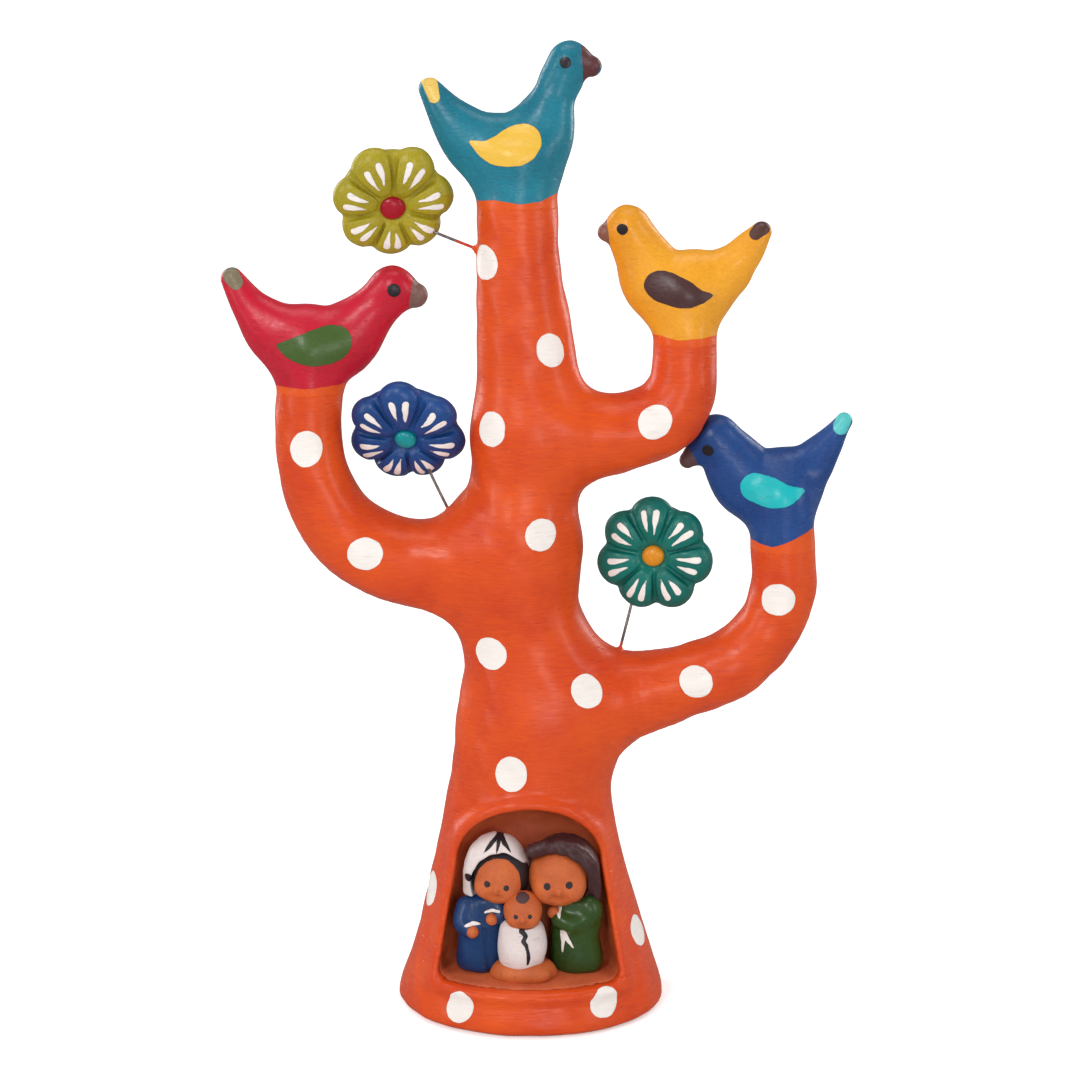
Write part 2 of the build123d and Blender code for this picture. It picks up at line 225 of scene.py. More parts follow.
def stand_for(piece, body, slot, *nodes):
    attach(piece, body)
    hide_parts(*nodes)


def make_piece(name, points, quads, paint, material):
    """A smooth mesh object from points in millimetres, with its paint distances as attributes."""
    mesh = bpy.data.meshes.new(name)
    mesh.vertices.add(len(points))
    mesh.vertices.foreach_set("co", (points * MM).astype(np.float32).ravel())
    mesh.loops.add(quads.size)
    mesh.loops.foreach_set("vertex_index", quads.astype(np.int32).ravel())
    mesh.polygons.add(len(quads))
    mesh.polygons.foreach_set("loop_start", np.arange(0, quads.size, 4, dtype=np.int32))
    mesh.polygons.foreach_set("use_smooth", np.ones(len(quads), dtype=bool))
    for layer, value in paint.items():
        data = mesh.attributes.new(layer, "FLOAT", "POINT")
        data.data.foreach_set("value", np.clip(value, UNPAINTED, -UNPAINTED).astype(np.float32))
    mesh.update(calc_edges=True)
    mesh.validate()
    mesh.materials.append(material)
    return add_object(name, mesh)


def sculpt(name, field, low, high, step, material, paint=None):
    """A piece made from a field inside a box, painted by a function of its points."""
    points, quads = surface(field, low, high, step)
    return make_piece(name, points, quads, paint(points) if paint else {}, material)


def around(centre, reach):
    """The box within reach of a point."""
    centre = np.array(centre, dtype=float)
    reach = np.array(reach, dtype=float) * np.ones(3)
    return centre - reach, centre + reach


# ---- materials
def tint(red, green, blue):
    """A colour given as screen values from 0 to 255."""
    linear = []
    for value in (red, green, blue):
        value /= 255
        linear.append(value / 12.92 if value <= 0.04045 else ((value + 0.055) / 1.055) ** 2.4)
    return (*linear, 1)


ORANGE = tint(221, 82, 16)
ORANGE_DEEP = tint(194, 50, 9)
WHITE = tint(240, 232, 226)
INK = tint(34, 28, 34)
BROWN = tint(72, 44, 46)


class Shader:
    """A material being wired, with short calls for the nodes that the paints share."""

    def __init__(self, name):
        self.material = bpy.data.materials.new(name)
        self.material.use_nodes = True
        self.tree = self.material.node_tree
        self.surface = self.tree.nodes["Principled BSDF"]
        self.place = self.node("ShaderNodeTexCoord").outputs["Object"]

    def node(self, kind, values=None, **settings):
        made = self.tree.nodes.new(kind)
        for key, value in settings.items():
            setattr(made, key, value)
        for socket, value in (values or {}).items():
            if isinstance(value, bpy.types.NodeSocket):
                self.tree.links.new(value, made.inputs[socket])
            else:
                made.inputs[socket].default_value = value
        return made

    def noise(self, size_mm, detail=3.0, stretch=(1, 1, 1)):
        """Noise with features about size_mm across, drawn out along the stretched axes."""
        scale = tuple(1 / (size_mm * MM * axis) for axis in stretch)
        place = self.node("ShaderNodeMapping", {"Vector": self.place, "Scale": scale}).outputs["Vector"]
        values = {"Vector": place, "Scale": 1.0, "Detail": detail}
        return self.node("ShaderNodeTexNoise", values).outputs["Fac"]

    def remap(self, value, start, end, low, high, smooth=False):
        kind = "SMOOTHSTEP" if smooth else "LINEAR"
        values = {"Value": value, "From Min": start, "From Max": end, "To Min": low, "To Max": high}
        return self.node("ShaderNodeMapRange", values, interpolation_type=kind).outputs["Result"]

    def math(self, operation, a, b=0.0):
        return self.node("ShaderNodeMath", {0: a, 1: b}, operation=operation).outputs[0]

    def mix(self, factor, a, b):
        return self.node("ShaderNodeMix", {"Factor": factor, 6: a, 7: b}, data_type="RGBA").outputs[2]

    def painted(self, layer):
        """How far a point is inside a painted patch, with a brush's slightly uneven edge."""
        distance = self.node("ShaderNodeAttribute", attribute_name=layer).outputs["Fac"]
        wobble = self.remap(self.noise(2.2, 1.0), 0.3, 0.7, -0.09, 0.09)
        return self.remap(self.math("ADD", distance, wobble), -0.05, 0.05, 0.0, 1.0, True)

    def raised(self, height, value, thickness):
        """A height with a value added, thickness millimetres tall where the value is 1."""
        return self.math("ADD", height, self.math("MULTIPLY", value, thickness * MM))

    def link(self, value, socket):
        self.tree.links.new(value, self.surface.inputs[socket])

    def finish(self, colour, height, roughness):
        """The material, with its colour, bump and roughness joined up."""
        bump = self.node("ShaderNodeBump", {"Strength": 1.0, "Distance": 1.0, "Height": height})
        self.link(colour, "Base Color")
        self.link(bump.outputs["Normal"], "Normal")
        self.link(roughness, "Roughness")
        return self.material


def brush_paint(name, light, dark, layers=(), stretch=(9, 9, 1), gloss=0.36, coat=0.12):
    """Satin paint laid on with a brush: cloudy tone, fine streaks, and patches of other colours."""
    shader = Shader(name)
    cloud = shader.remap(shader.noise(16, 3.0), 0.32, 0.68, 0.0, 1.0)
    streak = shader.noise(0.42, 2.0, stretch)
    grain = shader.noise(0.35, 2.0)
    worn = shader.remap(streak, 0.34, 0.66, 0.0, 0.3)
    tone = shader.math("MINIMUM", shader.math("ADD", shader.math("MULTIPLY", cloud, 0.55), worn), 1.0)
    colour = shader.mix(tone, light, dark)
    height = shader.raised(shader.math("MULTIPLY", streak, 0.05 * MM), grain, 0.018)
    height = shader.raised(height, cloud, 0.12)
    height = shader.raised(height, shader.noise(3.4, 3.0), 0.14)
    drag = shader.remap(shader.noise(1.5, 1.0, (2.4, 2.4, 0.5)), 0.66, 0.74, 0.0, -0.09 * MM, True)
    height = shader.math("ADD", height, drag)
    for layer, patch, thickness in layers:
        inside = shader.painted(layer)
        patch_dark = tuple(value * 0.92 for value in patch[:3]) + (1,)
        patch_tone = shader.mix(shader.remap(streak, 0.3, 0.7, 0.0, 0.8), patch, patch_dark)
        colour = shader.mix(inside, colour, patch_tone)
        height = shader.raised(height, inside, thickness)
    shader.surface.inputs["Specular IOR Level"].default_value = 0.3
    shader.surface.inputs["Coat Weight"].default_value = coat
    shader.surface.inputs["Coat Roughness"].default_value = 0.22
    return shader.finish(colour, height, shader.remap(streak, 0.3, 0.7, gloss - 0.06, gloss + 0.1))


def bare_clay(name, light, dark, layers=()):
    """Unglazed terracotta: matt, mottled, with fine grog and dark specks."""
    shader = Shader(name)
    cloud = shader.remap(shader.noise(7, 4.0), 0.3, 0.7, 0.0, 1.0)
    grog = shader.noise(0.3, 3.0)
    speck = shader.remap(shader.noise(0.55, 1.0), 0.66, 0.72, 0.0, 0.5, True)
    colour = shader.mix(cloud, light, dark)
    colour = shader.mix(speck, colour, tuple(value * 0.6 for value in dark[:3]) + (1,))
    height = shader.raised(shader.math("MULTIPLY", grog, 0.04 * MM), cloud, 0.08)
    for layer, patch, thickness in layers:
        inside = shader.painted(layer)
        colour = shader.mix(inside, colour, patch)
        height = shader.raised(height, inside, thickness)
    return shader.finish(colour, height, shader.remap(grog, 0.3, 0.7, 0.5, 0.72))


# ---- the tree
TRUNK = spline([
    (0, -0.3, 34.0, 31), (4, -0.3, 34.6, 31.6), (21, -0.3, 29.5, 25.4), (43, -1, 24.0, 19.6),
    (65, -0.5, 19.7, 16.4), (82, 0.9, 16.1, 14.8), (98, -1.3, 16.2, 13.6), (112, -2.1, 13.4, 12.8),
    (125, -1.3, 12.8, 12.2), (139, -0.9, 12.8, 12), (160, -1, 13.0, 11.4), (180, -2.1, 11.9, 10.4),
    (197, -3.6, 10.4, 9.5), (210, -3.8, 10.2, 9.2), (218, -3.4, 9.8, 9.2)])
BRANCH_DEPTH = 11.5
BIRD_ROUND = 33
LEFT = [(-4, 119, 15), (-14, 117.8, 13.8), (-25, 117, 11.9), (-38.3, 119.6, 11), (-49, 127.1, 10.1),
        (-54.9, 137.8, 9.2), (-57.2, 150, 8.5), (-56.7, 163, 8.4), (-56.4, 172, 8.3)]
UPPER_RIGHT = [(-1, 148, 13), (7, 149.4, 12.2), (16, 150.8, 10.8), (25, 152.1, 10), (33.4, 155.6, 9.6),
               (37.9, 162, 8.9), (38.8, 169, 8.3), (38.8, 176.5, 8.1), (38.2, 186, 8.0)]
LOWER_RIGHT = [(0, 79.5, 16), (11, 80.6, 14.2), (23, 82.3, 11.6), (36, 85.2, 9.9), (50.6, 90.2, 9.0),
               (60.4, 99.3, 8.6), (64.7, 110.5, 8.4), (64.6, 122.5, 8.3), (64.3, 134, 8.2)]


def line_at(points, y=0.0, steps=5):
    """A smooth line of x, y, z, radius from points given as x, z, radius at one depth."""
    return spline([(x, y, z, r) for x, z, r in points], steps)


def near(p, low, high, margin=14.0):
    """Which points lie within margin of a box."""
    return ((p > low - margin) & (p < high + margin)).all(1)


def fast_tube(p, line, depth):
    """tube() worked out only near the line, and FAR elsewhere."""
    radii = line[:, 3:4]
    close = near(p, (line[:, :3] - radii).min(0), (line[:, :3] + radii).max(0))
    result = np.full(len(p), FAR)
    result[close] = np.minimum(tube(p[close], line, depth), FAR)
    return result


def branch_depth(radius):
    return np.minimum(radius, BRANCH_DEPTH)


def bird_depth(radius):
    return radius * (1 - radius / BIRD_ROUND)


LEFT_LINE = line_at(LEFT)
UPPER_RIGHT_LINE = line_at(UPPER_RIGHT)
LOWER_RIGHT_LINE = line_at(LOWER_RIGHT)


def trunk_column(p):
    cx, a, b = (np.interp(p[:, 2], TRUNK[:, 0], TRUNK[:, i]) for i in (1, 2, 3))
    return oval(p[:, 0] - cx, p[:, 1], a, b)


def clay_lumps(p):
    return 0.26 * lumps(p, 8.5, 0.7) + 0.16 * lumps(p, 3.4, 2.2)


def webbing(p, height, above, below):
    """How widely a branch's clay is smoothed into the trunk above and below its middle."""
    return (above + below) / 2 + (above - below) / 2 * np.tanh((p[:, 2] - height) / 5)


def limbs(p):
    """The trunk with its three branches, before the birds, niche and foot."""
    # The left branch's wide web fades towards the right, so that it doesn't swell the trunk's far side.
    fade = np.clip(0.79 - p[:, 0] / 28, 0.45, 1)
    shape = smooth_min(trunk_column(p), fast_tube(p, LEFT_LINE, branch_depth), webbing(p, 118, 18, 14) * fade)
    shape = smooth_min(shape, fast_tube(p, UPPER_RIGHT_LINE, branch_depth), webbing(p, 150, 10, 6))
    shape = smooth_min(shape, fast_tube(p, LOWER_RIGHT_LINE, branch_depth), webbing(p, 82, 12, 15))
    return shape + clay_lumps(p)


NICHE_FLOOR, NICHE_HALF_FLOOR, NICHE_SPRING, NICHE_HALF_SPRING, NICHE_TOP = 12, 23.5, 41, 18.4, 56.2
NICHE_LEFT, NICHE_BACK, LINER, SKIN_DEPTH = 0.9, -6.5, 2.4, 1.5
LIP_OUT, LIP_R, LIP_BLEND = 1.5, 1.55, 1.8
WALL, SLAB_TOP, SLAB_GAP = 6.0, 5.15, 0.15


def arch(p):
    """Distance in X and Z to the niche's outline, below nought inside it."""
    x, z = np.abs(p[:, 0] + NICHE_LEFT), p[:, 2]
    taper = (NICHE_HALF_FLOOR - NICHE_HALF_SPRING) / (NICHE_SPRING - NICHE_FLOOR)
    side = (x - NICHE_HALF_SPRING - taper * (NICHE_SPRING - z)) / math.hypot(1, taper)
    crown = oval(x, np.maximum(z - NICHE_SPRING, 0), NICHE_HALF_SPRING, NICHE_TOP - NICHE_SPRING)
    return smooth_max(np.where(z > NICHE_SPRING, crown, side), NICHE_FLOOR - z, 3.0)


def niche_hollow(p, grown=0.0):
    """The niche's space, or that space grown all round."""
    return smooth_max(arch(p) - grown, p[:, 1] - (NICHE_BACK + grown), 1.6)


def with_lip(p, shape):
    """The soft rolled rim round the niche's mouth."""
    front = p[:, 1] < -7
    ring = np.full(len(p), FAR)
    ring[front] = np.sqrt((arch(p[front]) - LIP_OUT) ** 2 + (shape[front] + 0.1) ** 2) - LIP_R
    return smooth_min(shape, ring, LIP_BLEND)


# Each bird.  body is its line from the tail's tip to the head; beak_tip is where the beak ends; saddle is the
# soft filling of its back, as x, z, half length; cut is where its own piece starts, as x from, x to and z.
# The patches are as seen from the front: wing, notch and tail are lines of x, z, radius, the eye is x, z,
# radius, the beak starts at x, z and runs along a direction, and line is where the bird's paint stops.
BIRDS = {
    "teal": dict(
        body=[(-25.3, 238.3, 2.9), (-20.0, 231, 5.4), (-12.8, 224.3, 8.4), (-4.6, 221, 10.5),
              (1.5, 226.5, 8.7), (5.3, 235.6, 5.6), (7.6, 241.3, 5.5), (9.2, 244.8, 5.2)],
        y=0.0, perch=None, beak_tip=(14.7, 243.7, 2.6),
        saddle=(-6.6, 228.6, 6.0), cut=(-30, 25, 208.4),
        colours=(tint(28, 126, 146), tint(8, 84, 106)), wing_colour=tint(232, 184, 66),
        tail_colour=tint(228, 190, 92), beak_colour=tint(92, 52, 54),
        box=((-31, -13, 207), (20, 13, 253)),
        wing=[(-15.3, 225.5, 0.4), (-11.4, 223.5, 2.2), (-7.9, 223.3, 3.7), (-3.9, 224.5, 4.9),
              (-2, 225.5, 4.4)],
        eye=(8.3, 244.8, 1.4), beak=(12.5, 244.6, 1.0, 0.06), tail=[(-25.6, 240.6, 2), (-24.4, 236.3, 1.5)],
        line=[(-13.2, 210.7), (-9.9, 211.2), (-3, 210.2), (2, 210.7), (6.2, 212.7)]),
    "red": dict(
        body=[(-75.9, 191.0, 2.8), (-70.8, 183, 5.0), (-64.2, 176.8, 8.0), (-56.6, 173.7, 9.6),
              (-49.1, 174.9, 9.3), (-41.4, 181.9, 6.4), (-35.4, 188, 6.1)],
        y=0.0, perch=LEFT_LINE, beak_tip=(-29.6, 186.6, 3.2),
        saddle=(-57.6, 180.7, 5.0), cut=(-90, -25, 161.6),
        colours=(tint(204, 22, 50), tint(166, 10, 34)), wing_colour=tint(66, 92, 38),
        tail_colour=tint(124, 112, 88), beak_colour=tint(122, 92, 84),
        box=((-82, -13, 160), (-22, 13, 198)),
        wing=[(-64.1, 174.7, 0.4), (-60.4, 173.9, 2.5), (-55.8, 173.9, 4.2), (-51.3, 174.9, 4.8),
              (-49.3, 175.7, 4)],
        eye=(-34.7, 188.4, 1.7), beak=(-30.6, 187.4, 1.0, -0.16), tail=[(-76, 192, 2.1), (-74.7, 190.2, 1.8)],
        line=[(-66, 164.3), (-57, 163.9), (-48, 164.6)]),
    "yellow": dict(
        body=[(57.9, 202.8, 2.4), (53.7, 197.3, 4.4), (48, 191.9, 6.8), (40.2, 187.8, 9.3),
              (32.5, 189.5, 9.3),
              (27.8, 196.8, 6.9), (24, 203.6, 5.7)],
        y=0.0, perch=UPPER_RIGHT_LINE, beak_tip=(18.7, 202.6, 2.3),
        saddle=(40.6, 194.7, 4.2), cut=(12, 70, 174.0),
        colours=(tint(236, 164, 40), tint(212, 132, 18)), wing_colour=tint(74, 44, 44),
        tail_colour=tint(84, 52, 46), beak_colour=tint(132, 88, 72),
        box=((13, -13, 172), (64, 13, 214)),
        wing=[(45.1, 187.3, 0.4), (41.6, 187, 2), (37.6, 187.8, 3.6), (33, 189.5, 4), (31.3, 190, 3.2)],
        eye=(22.6, 203.7, 1.4), beak=(19.2, 202.6, -1.0, -0.14), tail=[(58, 204, 2), (56.1, 202.3, 1.5)],
        line=[(30.9, 177.2), (37.2, 176.1), (46, 176.9)]),
    "blue": dict(
        body=[(79.9, 154, 2.2), (75.9, 148.2, 4.0), (71.2, 142.2, 6.0), (64, 137, 9.0), (56.1, 138.1, 9.4),
              (50.7, 145, 7.3), (47.2, 149.7, 6.0)],
        y=3.0, perch=LOWER_RIGHT_LINE, beak_tip=(39.9, 143.9, 2.1),
        saddle=(64.6, 143.3, 4.0), cut=(50, 92, 121.0),
        colours=(tint(34, 76, 140), tint(16, 46, 104)), wing_colour=tint(20, 180, 184),
        tail_colour=tint(84, 192, 192), beak_colour=tint(92, 66, 66),
        box=((36, -11, 119), (88, 17, 161)),
        wing=[(68.6, 137.4, 0.8), (64.5, 136.5, 2.6), (60.6, 137, 3.8), (56.8, 138, 3.6)],
        notch=[(70.4, 139.6, 0.9), (67.9, 138.9, 0.3)],
        eye=(44.9, 147.1, 1.5), beak=(41.8, 144.6, -1.0, -0.6), tail=[(80, 155.2, 2), (79.1, 152.8, 2)],
        line=[(56.9, 124.1), (61.2, 123.1), (65.8, 124.7), (72.4, 127.8)]),
}
BIRD_BLEND = 5.0
TRUNK_TOP = 224


def birds(p, name):
    """One bird with the branch or trunk top that it is moulded on, in the tree's own lumpy clay."""
    bird = BIRDS[name]
    points, y, beak = bird["body"], bird["y"], bird["beak_tip"]
    body = fast_tube(p, line_at(points, y, 9), bird_depth)
    saddle_x, saddle_z, saddle_half = bird["saddle"]
    body = smooth_min(body, ball(p, (saddle_x, y, saddle_z), (saddle_half, 4.2, 3.4)), 3.0)
    head = points[-1]
    line = np.array([(head[0], y, head[1], head[2] * 0.9), (beak[0], y, beak[1], beak[2])])
    body = smooth_min(body, fast_tube(p, line, lambda r: r * 0.92), 1.6)
    if bird["perch"] is not None:
        stem = fast_tube(p, bird["perch"], branch_depth)
    else:
        stem = smooth_max(trunk_column(p), p[:, 2] - TRUNK_TOP, 3.0)
    return smooth_min(body, stem, BIRD_BLEND) + clay_lumps(p)


OVERLAP = 1.4


def tree_field(p):
    shape = with_lip(p, limbs(p))
    for name, bird in BIRDS.items():
        start, end, height = bird["cut"]
        close = (np.abs(p[:, 2] - height) < 9) & (p[:, 0] > start) & (p[:, 0] < end)
        shape[close] = np.minimum(shape[close], birds(p[close], name))
        above = np.maximum(height + OVERLAP - p[:, 2], np.maximum(start - p[:, 0], p[:, 0] - end))
        shape = np.maximum(shape, -above)
    inner = np.maximum(niche_hollow(p, LINER), trunk_column(p) + SKIN_DEPTH)
    shape = smooth_max(shape, -niche_hollow(p), 1.7)
    shape = np.maximum(shape, -inner)
    shape = smooth_max(shape, -p[:, 2], 2.2)
    slab_pocket = np.maximum(trunk_column(p) + WALL - SLAB_GAP, p[:, 2] - SLAB_TOP)
    return np.maximum(shape, -slab_pocket)


def settle(points, field, rounds=8):
    """Points moved onto a field's surface along its slope."""
    points = np.array(points, dtype=float)
    for _ in range(rounds):
        slope = gradient(field, points)
        points -= field(points)[:, None] * slope / np.maximum((slope * slope).sum(1), 0.2)[:, None]
    return points


# White spots: x, y, z near the surface, and radius.  The first fifteen are on the front.
SPOTS = [(-10.4, -4.5, 195.6, 4.4), (5.8, -11, 174.1, 4.1), (-9.4, -9, 153.8, 4.3), (-57.1, -8, 148.6, 4.4),
         (31, -9, 155.6, 4.4), (2, -12.5, 127.3, 4.2), (-42.5, -10, 121.9, 4.4), (62.9, -8, 109.5, 4.3),
         (-11.5, -13, 96.2, 4.3), (42.1, -9.5, 88.3, 4.3), (14.3, -14, 87, 4.3), (-5.4, -16, 65.6, 4.4),
         (-26.9, -5, 31.5, 4.4), (-16.8, -23, 5.6, 4.1), (17.7, -24, 7.1, 4.1),
         (27, 6, 38, 4.2), (2, 9.5, 188, 4.0), (-6, 11, 165, 4.1), (6, 12, 142, 4.3), (-7, 13, 116, 4.3),
         (8, 14, 94, 4.3), (-9, 15, 72, 4.4), (10, 17, 50, 4.4), (-14, 19, 30, 4.3), (14, 24, 12, 4.2),
         (-30, 11, 9, 4.2), (31, -9, 22, 4.2), (-45, 10, 123, 4.3), (-58, 8, 150, 4.3), (26, 10, 151, 4.3),
         (40, 8, 168, 4.0), (34, 10, 85, 4.3), (61, 8, 101, 4.3), (19, 3, 68, 4.2), (-17, 6, 90, 4.2),
         (-20, 8, 54, 4.3)]


def tree_paint(points):
    spots = settle([spot[:3] for spot in SPOTS], limbs)
    best = np.full(len(points), UNPAINTED)
    for number, (place, spot) in enumerate(zip(spots, SPOTS)):
        away = points - place
        turn = 0.7 * number
        squash = 1 + 0.05 * np.sin(2 * np.arctan2(away[:, 2], away[:, 0]) + turn)
        best = np.maximum(best, spot[3] - np.sqrt((away * away).sum(1)) * squash)
    return {"spots": best}


orange = brush_paint("orange_paint", ORANGE, ORANGE_DEEP, [("spots", WHITE, 0.16)])
tree = sculpt("painted_clay_tree", tree_field, (-70, -37, -1.5), (76, 36, 214), 0.8, orange, tree_paint)
stand_for(tree, "tree", "orange_paint", "trunk", "left_branch", "upper_right_branch", "lower_right_branch")


# ---- the birds
def flat_patch(points, line):
    """How far a point is inside a patch, a line of x, z, radius seen from the side."""
    return -flat_tube(points[:, 0], points[:, 2], spline(line, 6))


def bird_paint(points, name):
    """The painted patches of one bird: wing, eye, beak, tail tip and the orange below the seam."""
    bird = BIRDS[name]
    wing_patch = flat_patch(points, bird["wing"])
    if "notch" in bird:
        wing_patch = np.minimum(wing_patch, -flat_patch(points, bird["notch"]))
    beak_x, beak_z, across, up = bird["beak"]
    beak_patch = (points[:, 0] - beak_x) * across + (points[:, 2] - beak_z) * up
    beak_patch = np.minimum(beak_patch, 4.6 - np.hypot(points[:, 0] - beak_x, points[:, 2] - beak_z))
    eye_x, eye_z, eye_r = bird["eye"]
    eye_patch = eye_r - np.hypot(points[:, 0] - eye_x, points[:, 2] - eye_z)
    eye_patch = np.minimum(eye_patch, np.abs(points[:, 1] - bird["y"]) - 1.5)
    seam_x, seam_z = zip(*bird["line"])
    seam = np.interp(points[:, 0], seam_x, seam_z) - points[:, 2]
    return {"wing": wing_patch, "eye": eye_patch, "beak": beak_patch,
            "tail": flat_patch(points, bird["tail"]), "seam": seam}


def bird_field(name):
    def field(p):
        shape = birds(p, name) - 0.03
        if name == "blue":
            upper = fast_tube(p, UPPER_RIGHT_LINE, branch_depth)
            shape = smooth_max(shape, -(smooth_min(upper, trunk_column(p), 9.0) - 0.25), 1.0)
        return np.maximum(shape, BIRDS[name]["cut"][2] - p[:, 2])
    return field


for name, bird in BIRDS.items():
    paint = brush_paint(name + "_paint", *bird["colours"], [
        ("wing", bird["wing_colour"], 0.14), ("tail", bird["tail_colour"], 0.1),
        ("beak", bird["beak_colour"], 0.08), ("eye", INK, 0.12), ("seam", ORANGE, -0.06)],
        stretch=(2.5, 2.5, 1.4), gloss=0.34, coat=0.14)
    piece = sculpt(name + "_bird_body", bird_field(name), *bird["box"], 0.5, paint,
                   lambda points, name=name: bird_paint(points, name))
    stand_for(piece, "tree", name + "_paint", name + "_bird")


# ---- the wire flowers
PETALS = 7
PETAL_OUT, PETAL_LONG, PETAL_WIDE, PETAL_THICK, PLATE_R = 8.7, 6.0, 5.9, 4.0, 12.7
STROKE_START, STROKE_END, STROKE_SPREAD = 6.2, 11.2, 8.0
BACK = -3.4
WIRE = 0.38
# The finished flower sits a little lower and is a little wider than its CAD disc.
CENTRE_SHIFT = (-0.2, 0, -0.5)
WIDER = (1.03, 1.03, 1)
SAG_MIDDLE, SAG_END = (0, 0.9, 0), (0, 2.6, 0)
DAB_REACH = 2.6


def petal_frame(p, angle):
    """Points turned so that X runs out along a petal and Y across it."""
    along = np.array([math.cos(angle), math.sin(angle)])
    across = np.array([-math.sin(angle), math.cos(angle)])
    return np.stack([p[:, :2] @ along, p[:, :2] @ across, p[:, 2]], 1)


def flower_field(p, first, phase, lean):
    """Seven fat petals round a sunken ring, in the flower's own right, up and outward axes."""
    best = np.full(len(p), FAR)
    for index in range(PETALS):
        uneven = math.sin(2.4 * index + phase)
        angle = math.radians(first + index * 360 / PETALS + 1.5 * uneven)
        length = 1 + 0.02 * uneven + lean * math.sin(angle)
        q = petal_frame(p, angle)
        petal = ball(q, (PETAL_OUT * length, 0, -0.3),
                     (PETAL_LONG * length, PETAL_WIDE + 0.15 * uneven, PETAL_THICK))
        heel = ball(q, (5.0, 0, 0.1), (3.4, 2.5, 2.7))
        best = smooth_min(best, smooth_min(petal, heel, 1.6), 0.35)
    around = np.hypot(p[:, 0], p[:, 1])
    plate = around - PLATE_R * (1 + lean * p[:, 1] / np.maximum(around, 1))
    plate = smooth_max(plate, np.abs(p[:, 2] + 1.7) - 2.1, 1.8)
    best = smooth_min(best, plate, 0.5)
    for index in range(PETALS):
        angle = math.radians(first + (index + 0.5) * 360 / PETALS)
        crease = np.array([(4.5, 0, 2.4, 0.4), (9, 0, 2.3, 0.75), (13.6, 0, 1.2, 1.2)])
        valley = tube(petal_frame(p, angle), crease)
        best = smooth_max(best, -valley, 0.6)
    dish = ball(p, (0, 0, 4.6), (4.4, 4.4, 3.9))
    best = smooth_max(best, -dish, 0.9)
    collar = np.hypot(around - 3.5, p[:, 2] - 1.0) - 0.6
    best = smooth_min(best, collar, 0.7)
    best = smooth_max(best, BACK - p[:, 2], 1.6)
    return best + 0.1 * lumps(p, 3.4, phase)


def flower_paint(points, first, lean):
    """Two white brush strokes on each petal, pointed towards the button."""
    best = np.full(len(points), UNPAINTED)
    for index in range(PETALS):
        for side in (-1, 1):
            angle = math.radians(first + index * 360 / PETALS + side * STROKE_SPREAD)
            longer = 1 + lean * math.sin(angle)
            start = (STROKE_START + 0.4 * math.sin(3.1 * index + side)) * longer
            end = (STROKE_END + 0.4 * math.cos(2.3 * index + side)) * longer
            bow = math.radians(side * 1.5 * math.sin(1.9 * index))
            stations = []
            for share, turn, r in ((0, -bow, 0.1), (0.35, 0.3 * bow, 0.42),
                                   (0.7, 0.5 * bow, 0.74), (1, 0, 0.8)):
                reach = start + share * (end - start)
                stations.append((math.cos(angle + turn) * reach, math.sin(angle + turn) * reach, r))
            best = np.maximum(best, -flat_tube(points[:, 0], points[:, 1], spline(stations, 4)))
    return {"strokes": np.where(points[:, 2] > -0.5, best, UNPAINTED)}


def button_field(p, r, phase):
    return ball(p, (0, 0, 1.5), (r + 0.05, r - 0.05, 1.8)) + 0.08 * lumps(p, 2.2, phase)


def wire_tube(name, path, radius, material, sides=12):
    """A round wire along points in millimetres, with its ends closed."""
    points, faces = [], []
    for index, place in enumerate(path):
        before, after = path[max(index - 1, 0)], path[min(index + 1, len(path) - 1)]
        ahead = (after - before) / np.linalg.norm(after - before)
        side = np.array([0.0, 1.0, 0.0])
        up = np.cross(ahead, side)
        up /= np.linalg.norm(up)
        side = np.cross(up, ahead)
        for turn in range(sides):
            angle = 2 * math.pi * turn / sides
            points.append(place + radius * (math.cos(angle) * side + math.sin(angle) * up))
    for ring in range(len(path) - 1):
        for turn in range(sides):
            a, b = ring * sides + turn, ring * sides + (turn + 1) % sides
            faces.append((b, a, a + sides, b + sides))
    faces.append(tuple(range(sides)))
    faces.append(tuple(reversed(range(len(points) - sides, len(points)))))
    mesh = bpy.data.meshes.new(name)
    mesh.from_pydata([tuple(point * MM) for point in points], [], faces)
    mesh.validate()
    for polygon in mesh.polygons:
        polygon.use_smooth = len(polygon.vertices) == 4
    mesh.materials.append(material)
    return add_object(name, mesh)


def wire_paint():
    """Thin steel wire, dull grey, with the tree's paint wiped up its foot."""
    shader = Shader("steel_wire")
    drawn = shader.noise(0.4, 2.0, (1, 1, 8))
    colour = shader.mix(shader.remap(drawn, 0.35, 0.65, 0.0, 1.0), tint(150, 140, 136), tint(96, 86, 84))
    foot = shader.painted("foot")
    colour = shader.mix(foot, colour, ORANGE_DEEP)
    shader.link(shader.remap(foot, 0.0, 1.0, 0.75, 0.0), "Metallic")
    height = shader.math("MULTIPLY", drawn, 0.03 * MM)
    return shader.finish(colour, height, shader.remap(drawn, 0.3, 0.7, 0.34, 0.5))


